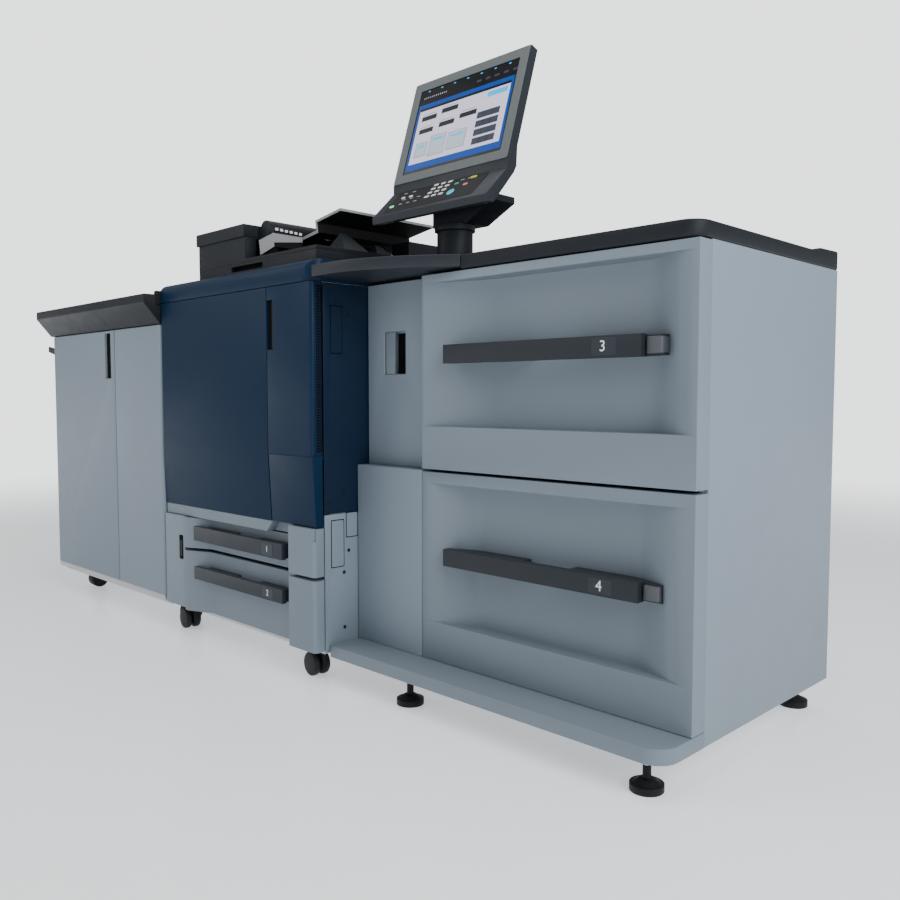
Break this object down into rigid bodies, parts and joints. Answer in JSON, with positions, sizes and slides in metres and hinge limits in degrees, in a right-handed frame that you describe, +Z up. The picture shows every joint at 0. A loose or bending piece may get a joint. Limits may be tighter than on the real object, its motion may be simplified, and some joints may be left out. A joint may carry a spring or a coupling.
{
  "type": "photocopier",
  "caption": "Floor-standing colour copier line: finisher, print engine with document feeder, large paper supply cabinet and a swivelling touch panel.",
  "frame": {"origin": "on the floor below the middle of the whole machine's bounding box", "axes": "+X to the machine's right along its length, +Y to its back, +Z up; the front faces -Y"},
  "size_m": [2.885, 0.953, 1.5256],
  "materials": {
    "blue_cover": "satin",
    "navy_side": "satin",
    "blue_grey": "satin",
    "light_grey": "satin",
    "dark_grey": "matte",
    "black": "matte",
    "bezel_grey": "matte",
    "steel": "satin",
    "glass": "polished",
    "screen": "gloss",
    "key_white": "matte",
    "key_cyan": "gloss",
    "rubber": "matte",
    "drum": "gloss",
    "fuser": "satin",
    "toner": "matte"
  },
  "bodies": {
    "machine": {"engine_frame": "steel", "engine_rear_cover": "blue_grey", "engine_top_cover": "blue_cover", "left_pillar": "blue_grey", "lower_band": "light_grey", "lower_front_cover": "blue_cover", "side_cover_upper": "navy_side", "side_cover_lower": "blue_grey", "drum_units": "drum", "transfer_belt": "black", "toner_bottles": "toner", "scanner_body": "dark_grey", "platen_glass": "glass", "finisher_frame": "steel", "finisher_shell": "blue_grey", "finisher_top_cover": "dark_grey", "finisher_casters": "black", "supply_frame": "steel", "supply_rear_cover": "blue_grey", "side_panel": "blue_grey", "foot_tray": "light_grey", "leveling_feet": "black", "top_slab": "dark_grey", "work_shelf": "dark_grey", "relay_box_cover": "blue_grey", "panel_column": "dark_grey"},
    "front_door": {"front_door": "blue_cover"},
    "toner_door": {"toner_door": "blue_cover"},
    "tray_1_drawer": {"tray_1": "light_grey", "tray_1_handle": "dark_grey"},
    "tray_2_drawer": {"tray_2": "light_grey", "tray_2_handle": "dark_grey"},
    "caster_left": {"caster_fork_left": "black"},
    "caster_right": {"caster_fork_right": "black"},
    "wheels_left": {"caster_wheels_left": "rubber"},
    "wheels_right": {"caster_wheels_right": "rubber"},
    "wheels_rear_left": {"rear_wheels_left": "rubber"},
    "wheels_rear_right": {"rear_wheels_right": "rubber"},
    "fuser": {"fuser_roller": "fuser"},
    "pressure": {"pressure_roller": "fuser"},
    "feeder": {"feeder_body": "dark_grey", "document_tray": "bezel_grey"},
    "feeder_cover": {"feeder_cover": "dark_grey"},
    "guide_front": {"guide_front": "key_white"},
    "guide_rear": {"guide_rear": "key_white"},
    "pickup": {"pickup_roller": "rubber"},
    "finisher_left_door": {"finisher_left_door": "blue_grey"},
    "finisher_right_door": {"finisher_right_door": "blue_grey"},
    "exit_tray": {"finisher_exit_tray": "black"},
    "relay_door": {"relay_door": "blue_grey"},
    "relay_latch": {"relay_latch": "light_grey"},
    "supply_drawer_3": {"drawer_3": "light_grey", "drawer_3_handle": "dark_grey"},
    "supply_drawer_4": {"drawer_4": "light_grey", "drawer_4_handle": "dark_grey"},
    "panel_arm": {"panel_arm": "dark_grey"},
    "panel": {"panel_housing": "bezel_grey", "touch_screen": "screen"},
    "number_keys": {"number_keys": "key_white"},
    "start_key": {"start_key": "key_cyan"}
  },
  "joints": [
    {"name": "front_door_hinge", "type": "hinge", "parent": "machine", "child": "front_door", "pos_m": [-0.2565, -0.4165, 0.7], "axis": [0, 0, -1], "range_deg": [0, 90]},
    {"name": "toner_door_hinge", "type": "hinge", "parent": "machine", "child": "toner_door", "pos_m": [0.4835, -0.4165, 0.78], "axis": [0, 0, 1], "range_deg": [0, 95]},
    {"name": "tray_1_slide", "type": "slide", "parent": "machine", "child": "tray_1_drawer", "axis": [0, -1, 0], "range_m": [0, 0.4]},
    {"name": "tray_2_slide", "type": "slide", "parent": "machine", "child": "tray_2_drawer", "axis": [0, -1, 0], "range_m": [0, 0.4]},
    {"name": "caster_left_swivel", "type": "hinge", "parent": "machine", "child": "caster_left", "pos_m": [-0.2185, -0.3585, 0.06], "axis": [0, 0, 1], "continuous": true},
    {"name": "caster_right_swivel", "type": "hinge", "parent": "machine", "child": "caster_right", "pos_m": [0.4375, -0.3585, 0.06], "axis": [0, 0, 1], "continuous": true},
    {"name": "wheels_left_spin", "type": "hinge", "parent": "caster_left", "child": "wheels_left", "pos_m": [-0.24639, -0.35606, 0.031], "axis": [-0.0872, -0.9962, 0], "continuous": true},
    {"name": "wheels_right_spin", "type": "hinge", "parent": "caster_right", "child": "wheels_right", "pos_m": [0.40961, -0.35606, 0.031], "axis": [-0.0872, -0.9962, 0], "continuous": true},
    {"name": "wheels_rear_left_spin", "type": "hinge", "parent": "machine", "child": "wheels_rear_left", "pos_m": [-0.2065, 0.3735, 0.031], "axis": [1, 0, 0], "continuous": true},
    {"name": "wheels_rear_right_spin", "type": "hinge", "parent": "machine", "child": "wheels_rear_right", "pos_m": [0.4335, 0.3735, 0.031], "axis": [1, 0, 0], "continuous": true},
    {"name": "fuser_spin", "type": "hinge", "parent": "machine", "child": "fuser", "pos_m": [0.3735, -0.1065, 0.7], "axis": [0, 1, 0], "continuous": true},
    {"name": "pressure_spin", "type": "hinge", "parent": "machine", "child": "pressure", "pos_m": [0.3735, -0.1065, 0.6494], "axis": [0, 1, 0], "continuous": true},
    {"name": "feeder_hinge", "type": "hinge", "parent": "machine", "child": "feeder", "pos_m": [0.1135, 0.2095, 1.098], "axis": [-1, 0, 0], "range_deg": [0, 65]},
    {"name": "feeder_cover_hinge", "type": "hinge", "parent": "feeder", "child": "feeder_cover", "pos_m": [-0.1765, -0.1065, 1.156], "axis": [0, -1, 0], "range_deg": [0, 60]},
    {"name": "guide_front_slide", "type": "slide", "parent": "feeder", "child": "guide_front", "axis": [0, 1, 0], "range_m": [0, 0.06]},
    {"name": "guide_rear_slide", "type": "slide", "parent": "feeder", "child": "guide_rear", "axis": [0, 1, 0], "range_m": [-0.06, 0]},
    {"name": "pickup_spin", "type": "hinge", "parent": "feeder", "child": "pickup", "pos_m": [0.0185, -0.1265, 1.166], "axis": [0, 1, 0], "continuous": true},
    {"name": "finisher_left_door_hinge", "type": "hinge", "parent": "machine", "child": "finisher_left_door", "pos_m": [-1.0865, -0.4165, 0.52], "axis": [0, 0, -1], "range_deg": [0, 95]},
    {"name": "finisher_right_door_hinge", "type": "hinge", "parent": "machine", "child": "finisher_right_door", "pos_m": [-0.2805, -0.4165, 0.52], "axis": [0, 0, 1], "range_deg": [0, 90]},
    {"name": "exit_tray_lift", "type": "slide", "parent": "machine", "child": "exit_tray", "axis": [0, 0, 1], "range_m": [-0.35, 0]},
    {"name": "relay_door_hinge", "type": "hinge", "parent": "machine", "child": "relay_door", "pos_m": [0.7235, -0.2415, 0.77], "axis": [0, 0, 1], "range_deg": [0, 88]},
    {"name": "relay_latch_pivot", "type": "hinge", "parent": "relay_door", "child": "relay_latch", "pos_m": [0.5665, -0.2435, 0.825], "axis": [0, 0, -1], "range_deg": [0, 12], "stiffness_Nm_per_rad": 0.4},
    {"name": "drawer_3_slide", "type": "slide", "parent": "machine", "child": "supply_drawer_3", "axis": [0, -1, 0], "range_m": [0, 0.42]},
    {"name": "drawer_4_slide", "type": "slide", "parent": "machine", "child": "supply_drawer_4", "axis": [0, -1, 0], "range_m": [0, 0.42]},
    {"name": "panel_swivel", "type": "hinge", "parent": "machine", "child": "panel_arm", "pos_m": [0.6935, -0.1365, 1.12], "axis": [0, 0, 1], "range_deg": [-60, 60]},
    {"name": "panel_tilt", "type": "hinge", "parent": "panel_arm", "child": "panel", "pos_m": [0.6935, -0.1265, 1.212], "axis": [1, 0, 0], "range_deg": [-12, 12]},
    {"name": "number_keys_press", "type": "slide", "parent": "panel", "child": "number_keys", "axis": [0, 0.7071, -0.7071], "range_m": [0, 0.0015], "stiffness_N_per_m": 800},
    {"name": "start_key_press", "type": "slide", "parent": "panel", "child": "start_key", "axis": [0, 0.7071, -0.7071], "range_m": [0, 0.0015], "stiffness_N_per_m": 600}
  ],
  "couplings": [
    {"joint": "pressure_spin", "follows": "fuser_spin", "ratio": -1},
    {"joint": "guide_rear_slide", "follows": "guide_front_slide", "ratio": -1}
  ]
}
